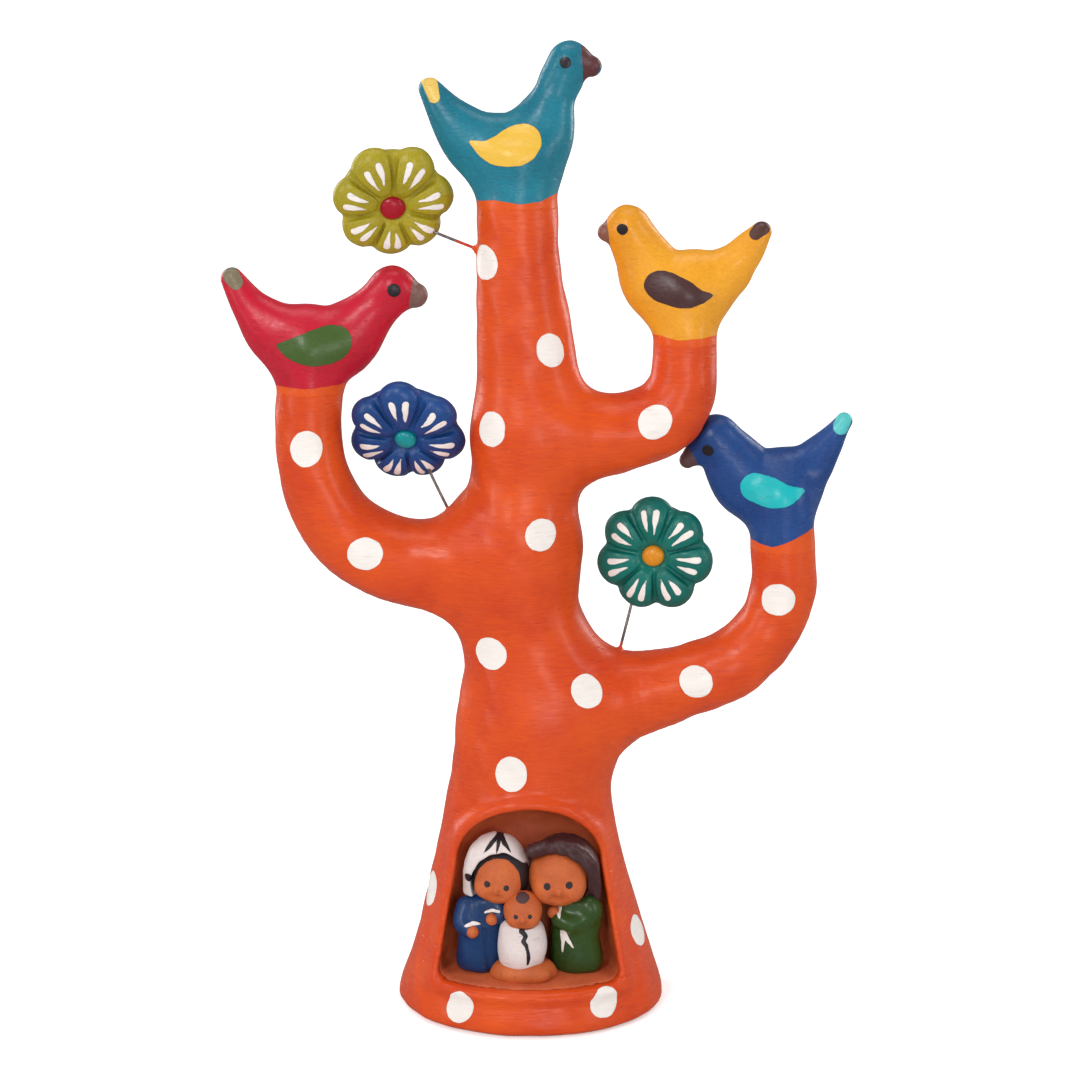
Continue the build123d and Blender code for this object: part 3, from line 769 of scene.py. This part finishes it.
# Each flower: its centre, wire's root and wire's end as x, z; how far it faces down and right in degrees; the
# first petal's angle; how much longer the upper petals are; and how far orange paint runs up the wire.
FLOWERS = {
    "yellow": dict(centre=(-35.0, 209.9), root=(-13.7, 198.3), wire_end=(-29.5, 204.4), facing=(22, 8),
                   first=90 - 180 / 7, lean=0.1, button_r=3.2, foot=6.0,
                   slot="lime_paint", colours=(tint(178, 160, 34), tint(134, 124, 18)),
                   button=(tint(176, 10, 38), tint(140, 6, 26)), button_slot="red_paint", phase=0.4),
    "blue": dict(centre=(-32.0, 151.4), root=(-21, 130.4), wire_end=(-29.4, 147.4), facing=(32, -6),
                 first=92, lean=0.09, button_r=2.8, foot=2.2,
                 slot="blue_paint", colours=(tint(28, 76, 142), tint(16, 48, 100)),
                 button=(tint(16, 156, 160), tint(8, 118, 124)), button_slot="teal_paint", phase=1.7),
    "green": dict(centre=(31.7, 120.3), root=(22.6, 94), wire_end=(28, 115.5), facing=(3, -12),
                  first=93, lean=0.0, button_r=2.85, foot=2.6,
                  slot="green_paint", colours=(tint(6, 116, 104), tint(2, 84, 78)),
                  button=(tint(222, 144, 26), tint(190, 112, 14)), button_slot="yellow_paint", phase=2.9),
}
SUNK = 5.0
metal = wire_paint()

for name, flower in FLOWERS.items():
    centre = np.array([flower["centre"][0], 0, flower["centre"][1]]) + CENTRE_SHIFT
    axes = facing_matrix(*flower["facing"])
    body = name + "_flower"
    petal_paint = brush_paint(name + "_petal_paint", *flower["colours"], [("strokes", WHITE, 0.16)],
                              stretch=(1.6, 1.6, 1.6), gloss=0.36, coat=0.14)
    button_paint = brush_paint(name + "_button_paint", *flower["button"], stretch=(1.5, 1.5, 1.5),
                               gloss=0.3, coat=0.2)
    first, phase, lean = flower["first"], flower["phase"], flower["lean"]

    points, quads = surface(lambda p: flower_field(p, first, phase, lean), (-17, -17, -5), (17, 17, 6), 0.42)
    petals = make_piece(name + "_painted_petals", points * WIDER @ axes.T + centre, quads,
                        flower_paint(points, first, lean), petal_paint)
    points, quads = surface(lambda p: button_field(p, flower["button_r"], phase),
                            (-4, -4, -1.5), (4, 4, 4.5), 0.3)
    button = make_piece(name + "_painted_centre", points @ axes.T + centre, quads, {}, button_paint)

    root = np.array([flower["root"][0], 0, flower["root"][1]])
    end = np.array([flower["wire_end"][0], 0, flower["wire_end"][1]])
    ahead = (end - root) / np.linalg.norm(end - root)
    hidden_end = centre + axes @ np.array([0.0, -4.0, BACK + 1.0]) * np.array([0.6, 1, 1])
    path = spline([root - SUNK * ahead, root, root + (end - root) * 0.5 + SAG_MIDDLE,
                   end + SAG_END, hidden_end], 9)
    wire = wire_tube(name + "_flower_wire", path, WIRE, metal)
    along = [(Vector(v.co / MM) - Vector(root)).dot(Vector(ahead)) for v in wire.data.vertices]
    foot = wire.data.attributes.new("foot", "FLOAT", "POINT")
    foot.data.foreach_set("value", np.clip(flower["foot"] - np.array(along), -9, 9).astype(np.float32))

    cone = np.array([(*(root - 1.4 * ahead), 1.6), (*(root + 0.1 * ahead), 1.1),
                     (*(root + 1.1 * ahead), 0.6)])

    def dab_field(p, cone=cone):
        mound = smooth_min(tube(p, cone), limbs(p) + 0.05, 0.9)
        return np.maximum(mound, np.sqrt(((p - root) ** 2).sum(1)) - DAB_REACH)

    dab = sculpt(name + "_wire_dab", dab_field, *around(root, 4.2), 0.3, orange,
                 lambda points: {"spots": np.full(len(points), UNPAINTED)})

    stand_for(petals, body, flower["slot"], name + "_flower_petals")
    stand_for(button, body, flower["button_slot"], name + "_flower_centre")
    stand_for(dab, "tree", "orange_paint", name + "_flower_dab")
    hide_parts(name + "_flower_stem")
    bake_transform(wire)


# ---- the niche and its family
def liner_field(p):
    shell = np.maximum(niche_hollow(p, LINER - 0.02), trunk_column(p) + SKIN_DEPTH + 0.02)
    inside = -trunk_column(p) - SKIN_DEPTH
    lean = 3.2 * np.clip((inside - 0.8) / 9, -0.05, 1) * np.clip((p[:, 2] - 10) / 8, 0.3, 1)
    space = smooth_max(arch(p) + lean, p[:, 1] - NICHE_BACK, 4.0)
    return smooth_max(shell, -space - 0.14 * lumps(p, 5, 0.3), 0.6)


niche_clay = bare_clay("niche_brown", tint(208, 98, 54), tint(178, 78, 42))
liner = sculpt("niche_painted_liner", liner_field, (-28, -36, 8), (28, -2, 62), 0.7, niche_clay)
stand_for(liner, "tree", "bare_clay", "niche_liner")


def column(p, sections, y, blend=2.0):
    """An upright body of z, x, half width, half depth sections with rounded ends."""
    line = spline(sections, 4)
    z = p[:, 2]
    cx, a, b = (np.interp(z, line[:, 0], line[:, i]) for i in (1, 2, 3))
    body = oval(p[:, 0] - cx, p[:, 1] - y, a, b)
    low, high = sections[0][0], sections[-1][0]
    return smooth_max(body, smooth_max(low - z, z - high, blend), blend)


ROBE_Y, CHILD_Y = -13.4, -19.0
HAND = 1.6
# Each head's middle, radius and axes.
MOTHER = np.array([-8.4, -14.4, 37.7]), 6.9, facing_matrix(4, -6, -10)
FATHER = np.array([6.9, -14.0, 38.0]), 7.9, facing_matrix(4, -2, 4)
CHILD = np.array([-2.4, -19.4, 30.3]), 5.0, facing_matrix(2, 0, 0)
MOTHER_HANDS = [(-10.4, -18.6, 27.6), (-15.4, -18.8, 24.2)]
FATHER_HAND = (5.4, -16.6, 28.8)


def in_head(p, who):
    """Points in a head's own axes: right, up and outward from its middle."""
    centre, _, axes = who
    return (p - centre) @ axes


def skull(q, r):
    return ball(q, (0, 0, 0), (r, r * 1.03, r * 0.96))


def face_field(p, who):
    """A plain doll's head: full cheeks, a small nose and a faint smile."""
    q, r = in_head(p, who), who[1]
    head = skull(q, r)
    cheeks = np.minimum(ball(q, (-0.46 * r, -0.3 * r, 0.62 * r), 0.34 * r),
                        ball(q, (0.46 * r, -0.3 * r, 0.62 * r), 0.34 * r))
    head = smooth_min(head, cheeks, 0.3 * r)
    nose = ball(q, (0, -0.2 * r, 0.95 * r), (0.13 * r, 0.17 * r, 0.15 * r))
    head = smooth_min(head, nose, 0.12 * r)
    smile = [(math.sin(turn) * 0.3 * r, -0.22 * r - math.cos(turn) * 0.3 * r, 0.07 * r)
             for turn in (-0.8, -0.4, 0.0, 0.4, 0.8)]
    groove = flat_tube(q[:, 0], q[:, 1], smile)
    groove = np.where(q[:, 2] > 0.4 * r, groove, 9)
    depth = np.clip(0.035 * r - np.maximum(groove, 0) * 0.5, 0, 1)
    return head + depth + 0.05 * lumps(p, 2.4, r)


def face_paint(points, who):
    """Round dark eyes level with the middle of the face."""
    q, r = in_head(points, who), who[1]
    eyes = 0.115 * r - np.minimum(np.hypot(q[:, 0] - 0.36 * r, q[:, 1]),
                                  np.hypot(q[:, 0] + 0.36 * r, q[:, 1]))
    return q, np.where(q[:, 2] > 0, eyes, UNPAINTED)


def grown_patch(q, patch_x, patch_y, half_x, half_y):
    """How far a point is outside a face's oval, so that hair can be painted round it."""
    oval = np.hypot((q[:, 0] - patch_x) / half_x, (q[:, 1] - patch_y) / half_y)
    return np.where(q[:, 2] > 0, (oval - 1) * min(half_x, half_y), 5)


def mother_head_field(p):
    """The face with black hair combed back round it."""
    hair = ball(in_head(p, MOTHER), (0, 0.3, -1.0), (7.6, 8.0, 7.3))
    return smooth_min(face_field(p, MOTHER), hair, 0.3)


def mother_head_paint(points):
    q, eyes = face_paint(points, MOTHER)
    return {"eyes": eyes, "hair": np.where(q[:, 1] > -5.0, grown_patch(q, 0, -0.6, 5.9, 7.1), UNPAINTED)}


def father_head_paint(points):
    _, eyes = face_paint(points, FATHER)
    return {"eyes": eyes, "hair": np.full(len(points), UNPAINTED)}


def child_head_paint(points):
    q, eyes = face_paint(points, CHILD)
    tuft = 1.7 - np.hypot(q[:, 0], (q[:, 1] - 4.2) * 1.7)
    return {"eyes": eyes, "hair": np.where(q[:, 2] > 0, tuft, UNPAINTED)}


def scarf_field(p):
    q = in_head(p, MOTHER)
    cloth = ball(p, (-9.2, -13.4, 39.4), (8.5, 7.8, 9.9))
    drape = column(p, [(30.5, -12.2, 5.6, 4.6), (35, -10.8, 7.2, 5.4), (39, -9.6, 8, 6)], -12.2, 1.0)
    cloth = smooth_min(cloth, drape, 1.5)
    opening = (np.hypot((q[:, 0] - 0.1) / 7.1, (q[:, 1] + 0.6) / 8.6) - 1) * 7.1
    opening = np.maximum(opening, 0.5 - q[:, 2])
    cloth = smooth_max(cloth, -opening, 0.9)
    cloth = np.maximum(cloth, 0.04 - mother_head_field(p))
    folds = 0.06 * np.sin(1.5 * q[:, 0] + 0.9 * q[:, 1]) * np.clip(q[:, 1] - 2, 0, 1)
    return smooth_max(cloth, 32.5 - p[:, 2], 0.8) + folds + 0.06 * lumps(p, 2.6, 0.8)


def scarf_paint(points):
    x, z = points[:, 0] + 8.7, points[:, 2] - 49.2
    mark = strokes(x, z, [[(0.2, 0.4, 0.35), (-1.8, -1.6, 0.45), (-4.0, -4.0, 0.1)],
                          [(0.3, 0.3, 0.4), (0.0, -1.8, 0.5), (-0.4, -3.6, 0.1)],
                          [(0.4, 0.4, 0.35), (1.5, -1.4, 0.6), (3.2, -3.6, 0.15)]])
    clasp = 1.1 - np.hypot((points[:, 0] + 16.4) * 1.1, points[:, 2] - 38.4)
    return {"mark": np.where(points[:, 1] < -12, np.maximum(mark, clasp), UNPAINTED)}


def hair_field(p):
    q = in_head(p, FATHER)
    hair = ball(p, (8.2, -13.4, 39.4), (9.3, 7.5, 9.6))
    fringe = tube(q, np.array([(-5.8, 8.0, 2.6, 2.1), (-3.2, 8.9, 2.8, 2.0), (-1.4, 8.7, 2.8, 1.6)]))
    crown = tube(q, np.array([(0.6, 9.0, 2.6, 1.9), (4.6, 8.0, 2.8, 1.9), (8.2, 3.8, 2.0, 1.8),
                              (9.2, -1.6, 1.4, 1.6), (9.4, -6.0, 1.2, 1.3)]))
    hair = smooth_min(hair, smooth_min(fringe, crown, 0.6), 1.2)
    opening = (np.hypot((q[:, 0] + 0.9) / 8.4, (q[:, 1] + 0.9) / 8.3) - 1) * 8.3
    opening = np.maximum(opening, 0.2 - q[:, 2])
    hair = smooth_max(hair, -opening, 0.9)
    hair = np.maximum(hair, -(skull(q, FATHER[1]) - 0.04))
    back = smooth_max(hair, p[:, 1] + 7.2, 0.5)
    return smooth_max(back, 31.6 - p[:, 2], 0.8) + 0.07 * np.sin(2.6 * q[:, 0] + 1.2 * q[:, 1])


def strokes(x, z, lines):
    """How far a point is inside the nearest of several brush strokes, lines of x, z, radius."""
    return np.max([-flat_tube(x, z, line) for line in lines], axis=0)


def arm(p, points):
    return tube(p, spline(points, 3))


def mother_robe_field(p):
    robe = column(p, [(12.6, -13.2, 6.2, 5.0), (16, -13.2, 6.6, 5.4), (21, -13, 6.2, 5.3),
                      (27, -12.6, 6.2, 5), (33, -11.5, 4.4, 3.8)], ROBE_Y)
    right_arm = arm(p, [(-17, -14.2, 29.6, 2.7), (-18.2, -16, 26, 2.5), (-16.6, -17.4, 24.4, 2)])
    left_arm = arm(p, [(-8.8, -15, 30.4, 2.6), (-8.0, -16.8, 28.4, 2.3), (-9.4, -17.6, 27.6, 1.9)])
    robe = smooth_min(smooth_min(robe, right_arm, 1.2), left_arm, 1.2)
    fold = np.abs(p[:, 0] + 11.6 + 0.12 * (p[:, 2] - 18)) - 0.1
    robe = robe + 0.4 * np.clip(1 - fold / 0.9, 0, 1) * (p[:, 2] < 25) * (p[:, 1] < ROBE_Y)
    return np.minimum(robe, 9) + 0.14 * lumps(p, 3.0, 1.9)


def cuff_paint(points, hands):
    """White cuffs painted over the hands."""
    cuffs = [[(x - 1.8, z + 1.7, 0.3), (x, z + 2.2, 0.5), (x + 1.8, z + 2.1, 0.35)] for x, _, z in hands]
    return np.where(points[:, 1] < -14.5, strokes(points[:, 0], points[:, 2], cuffs), UNPAINTED)


def father_robe_field(p):
    robe = column(p, [(12.2, 11.6, 6.2, 5.0), (16, 11.6, 6.9, 5.4), (22, 11.2, 6.3, 5.2),
                      (28, 12, 6.4, 5), (33, 11.4, 4.4, 3.8)], ROBE_Y)
    shoulder = ball(p, (14.4, -15.2, 28.9), (3.9, 3.6, 4.3))
    robe = smooth_min(robe, shoulder, 0.6)
    robe = smooth_min(robe, arm(p, [(13.4, -16.4, 27, 2.6), (10, -17.6, 26, 2.5), (7, -17, 27, 2.1)]), 1.1)
    return robe + 0.14 * lumps(p, 3.0, 2.8)


def father_robe_paint(points):
    mark = strokes(points[:, 0], points[:, 2], [[(6.6, 31.4, 0.6), (6.7, 30.2, 0.95), (6.9, 28.2, 0.3)],
                                                [(7.9, 24.0, 0.8), (7.9, 21.6, 0.55), (7.8, 18.6, 0.12)],
                                                [(8.1, 24.0, 0.7), (9.2, 21.8, 0.55), (10.6, 19.8, 0.12)]])
    return {"mark": np.where(points[:, 1] < -14, mark, UNPAINTED)}


def swaddling_field(p):
    cloth = column(p, [(14.8, -2.6, 5.4, 4.0), (21, -2.6, 6.3, 4.5), (27.8, -2.6, 5.4, 4.1)], CHILD_Y, 2.6)
    knees = ball(p, (-2.6, CHILD_Y - 1.6, 19), (4.8, 3.6, 4.2))
    cloth = smooth_min(cloth, knees, 2.0)
    cloth = np.maximum(cloth, -(ball(p, CHILD[0], CHILD[1]) - 0.05))
    return cloth + 0.3 * lumps(p, 3.1, 0.2)


def swaddling_paint(points):
    string = [(-2.2, 27.2, 0.6), (-2.7, 25.9, 0.75), (-1.6, 24.6, 0.6), (-2.3, 23.4, 0.55),
              (-1.5, 22.2, 0.5), (-1.1, 20.6, 0.5), (-0.9, 18.8, 0.5), (-1.2, 17.4, 0.3)]
    mark = strokes(points[:, 0], points[:, 2], [string])
    return {"mark": np.where(points[:, 1] < CHILD_Y, mark, UNPAINTED)}


def manger_field(p):
    lump = column(p, [(11.2, -2.2, 8.0, 5), (13.4, -2.2, 8.8, 5.4), (16.8, -2.2, 7.0, 4.6)], -18.4, 2.0)
    return smooth_min(lump, ball(p, (-1.6, -22, 13.8), (6.2, 2.6, 2.4)), 1.5) + 0.16 * lumps(p, 3.2, 1.1)


def hands_field(p, hands):
    best = np.full(len(p), FAR)
    for hand in hands:
        best = np.minimum(best, ball(p, hand, (HAND, HAND * 0.95, HAND * 1.02)))
    return best + 0.05 * lumps(p, 1.8, 0.6)


skin = bare_clay("skin_clay", tint(206, 102, 42), tint(180, 80, 32),
                 [("eyes", INK, 0.1), ("hair", INK, 0.12)])
child_skin = bare_clay("child_skin_clay", tint(200, 98, 42), tint(176, 80, 32),
                       [("eyes", INK, 0.1), ("hair", BROWN, 0.12)])
plain_clay = bare_clay("bare_clay", tint(206, 104, 46), tint(174, 80, 34))
linen = brush_paint("white_paint", tint(228, 216, 212), tint(204, 190, 188), [("mark", INK, 0.12)],
                    stretch=(1.4, 1.4, 1.4), gloss=0.42, coat=0.12)
hair_brown = brush_paint("brown_paint", tint(78, 44, 44), tint(52, 28, 30),
                         stretch=(1, 1, 3), gloss=0.42, coat=0.1)
robe_blue = brush_paint("robe_blue_paint", tint(12, 60, 112), tint(6, 38, 80), [("cuffs", WHITE, 0.16)],
                        stretch=(1.4, 1.4, 1.4), gloss=0.4, coat=0.15)
robe_green = brush_paint("robe_green_paint", tint(52, 82, 30), tint(32, 56, 20), [("mark", WHITE, 0.16)],
                         stretch=(1.4, 1.4, 1.4), gloss=0.36, coat=0.2)

FIGURES = [
    ("mother_painted_robe", "mother_robe", "blue_paint",
     mother_robe_field, (-24, -21, 10.5), (-4, -5.5, 36), 0.4,
     robe_blue, lambda points: {"cuffs": cuff_paint(points, MOTHER_HANDS)}),
    ("mother_doll_head", "mother_head", "skin_clay", mother_head_field, *around(MOTHER[0], 8.8), 0.36, skin,
     mother_head_paint),
    ("mother_white_scarf", "mother_headscarf", "white_paint",
     scarf_field, (-19, -23, 31), (1.5, -4.5, 51), 0.36,
     linen, scarf_paint),
    ("mother_clay_hands", "mother_hands", "skin_clay", lambda p: hands_field(p, MOTHER_HANDS),
     (-18, -21.5, 21.5), (-7.5, -16, 30.5), 0.28, plain_clay, None),
    ("father_painted_robe", "father_robe", "robe_green_paint",
     father_robe_field, (2, -21.5, 10.5), (20.5, -5.5, 36),
     0.4, robe_green, father_robe_paint),
    ("father_doll_head", "father_head", "skin_clay",
     lambda p: face_field(p, FATHER), *around(FATHER[0], 9.6), 0.38, skin,
     father_head_paint),
    ("father_brown_hair", "father_hair", "brown_paint", hair_field, (-3, -23, 30), (19.5, -5.5, 51), 0.38,
     hair_brown, None),
    ("father_clay_hand", "father_hand", "skin_clay", lambda p: hands_field(p, [FATHER_HAND]),
     *around(FATHER_HAND, 2.4), 0.28, plain_clay, None),
    ("child_white_wrap", "child_swaddling", "white_paint",
     swaddling_field, (-10, -25.5, 13), (5, -13, 30), 0.38,
     linen, swaddling_paint),
    ("child_doll_head", "child_head", "skin_clay",
     lambda p: face_field(p, CHILD), *around(CHILD[0], 6.6), 0.34, child_skin,
     child_head_paint),
    ("clay_manger", "manger", "bare_clay",
     manger_field, (-13, -26, 10.5), (9, -11, 19), 0.42, plain_clay, None),
]
for name, node, slot, field, low, high, step, material, paint in FIGURES:
    stand_for(sculpt(name, field, low, high, step, material, paint), "tree", slot, node)

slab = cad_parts["base_slab"]
slab.data.materials.clear()
slab.data.materials.append(bare_clay("slab_clay", tint(176, 84, 42), tint(138, 60, 28)))


# ---- floor, lights and camera
def studio_white(name, value):
    """A matt pale card with the slightest unevenness."""
    shader = Shader(name)
    cloud = shader.remap(shader.noise(300, 2.0), 0.3, 0.7, 0.0, 1.0)
    low = tuple(channel * 0.985 for channel in value[:3]) + (1,)
    shader.link(shader.mix(cloud, value, low), "Base Color")
    shader.surface.inputs["Roughness"].default_value = 0.9
    # The card glows for the camera alone, and more so farther out where the lamps fade.
    shader.surface.inputs["Emission Color"].default_value = (1, 1, 1, 1)
    away = shader.node("ShaderNodeVectorMath", {"Vector": shader.place}, operation="LENGTH").outputs["Value"]
    glow = shader.remap(away, 0.25, 1.8, 0.42, 1.0)
    seen = shader.node("ShaderNodeLightPath").outputs["Is Camera Ray"]
    shader.link(shader.math("MULTIPLY", glow, seen), "Emission Strength")
    shader.surface.inputs["Specular IOR Level"].default_value = 0.1
    return shader.material


def sweep(material):
    """A floor that curves up into a backdrop."""
    half, depth, bend, top = 3.0, 1.3, 0.7, 2.6
    profile = [(-2.2, 0.0), (0.0, 0.0), (depth - bend, 0.0)]
    for step in range(1, 17):
        angle = math.pi / 2 * step / 16
        profile.append((depth - bend + bend * math.sin(angle), bend - bend * math.cos(angle)))
    profile.append((depth, top))
    points = [(x, y, z) for x in (-half, half) for y, z in profile]
    count = len(profile)
    faces = [(i, i + count, i + 1 + count, i + 1) for i in range(count - 1)]
    mesh = bpy.data.meshes.new("studio_sweep")
    mesh.from_pydata(points, [], faces)
    for polygon in mesh.polygons:
        polygon.use_smooth = True
    mesh.materials.append(material)
    card = add_object("studio_sweep", mesh)
    card.visible_glossy = False


sweep(studio_white("studio_card", (0.86, 0.86, 0.86, 1)))
# Each lamp: its place, the height that it points at on the tree's axis, its width and height, and its power.
for name, place, aim, size, power in (
        ("front", (-0.38, -0.9, 0.66), 0.1, (0.22, 0.4), 3.9),
        ("front_low", (0.2, -1.0, 0.2), 0.06, (0.3, 0.3), 1.6),
        ("front_left", (-0.85, -0.5, 0.4), 0.14, (0.16, 0.7), 2.2),
        ("front_right", (0.85, -0.5, 0.4), 0.14, (0.16, 0.7), 2.0),
        ("top", (0.0, -0.1, 1.1), 0.1, (0.9, 0.5), 3.4),
        ("left_strip", (-0.6, 0.42, 0.4), 0.16, (0.25, 0.6), 2.4),
        ("right_strip", (0.6, 0.42, 0.4), 0.16, (0.25, 0.6), 2.4)):
    lamp = bpy.data.lights.new(name, "AREA")
    lamp.shape = "RECTANGLE"
    lamp.size, lamp.size_y = size
    lamp.energy = power
    light = add_object(name, lamp)
    light.location = place
    light.rotation_euler = (Vector((0, 0, aim)) - Vector(place)).to_track_quat("-Z", "Y").to_euler()

world = bpy.data.worlds.new("studio_world")
world.use_nodes = True
nodes, links = world.node_tree.nodes, world.node_tree.links
background = nodes["Background"].inputs
background["Color"].default_value = (1, 1, 1, 1)
# The world beyond the card looks white to the camera but gives only a dim fill.
room = nodes.new("ShaderNodeLightPath")
strength = nodes.new("ShaderNodeMapRange")
strength.inputs["To Min"].default_value = 0.24
strength.inputs["To Max"].default_value = 1.0
links.new(room.outputs["Is Camera Ray"], strength.inputs["Value"])
links.new(strength.outputs["Result"], background["Strength"])
scene = bpy.context.scene
scene.world = world
scene.view_settings.view_transform = "Standard"

camera_data = bpy.data.cameras.new("camera")
camera_data.lens = 89.57
camera_data.sensor_width = 36
camera = add_object("camera", camera_data)
camera.location = (0.002, -0.680, 0.255)
camera.rotation_euler = (math.radians(79.06), 0, 0)
scene.camera = camera

bpy.context.view_layer.update()
